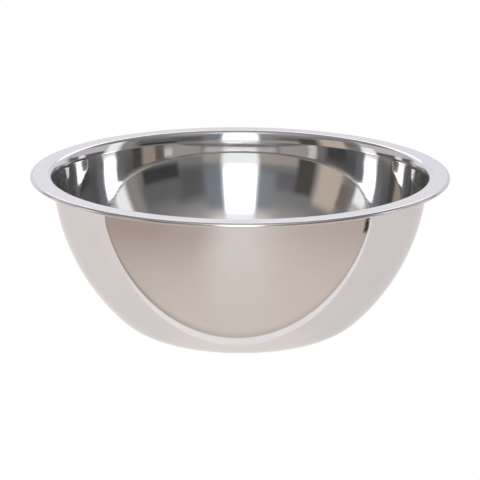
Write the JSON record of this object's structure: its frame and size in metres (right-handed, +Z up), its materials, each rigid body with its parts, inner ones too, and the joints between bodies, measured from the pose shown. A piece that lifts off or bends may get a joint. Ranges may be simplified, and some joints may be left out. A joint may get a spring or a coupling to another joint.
{
  "type": "mixing bowl",
  "caption": "Deep round stainless-steel mixing bowl with a wide flat rim, a rolled lip and a flat base, for mixing, whisking and holding dough or batter.",
  "frame": {"origin": "centre of the flat base, on its underside", "axes": "+Z up along the bowl's axis of revolution, from the base to the mouth; X and Y are equivalent"},
  "size_m": [0.32, 0.32, 0.125],
  "materials": {
    "steel": "mirror-polished outside, fine circular brushing inside, satin rim"
  },
  "bodies": {
    "root": {"bowl": "steel"}
  },
  "joints": []
}
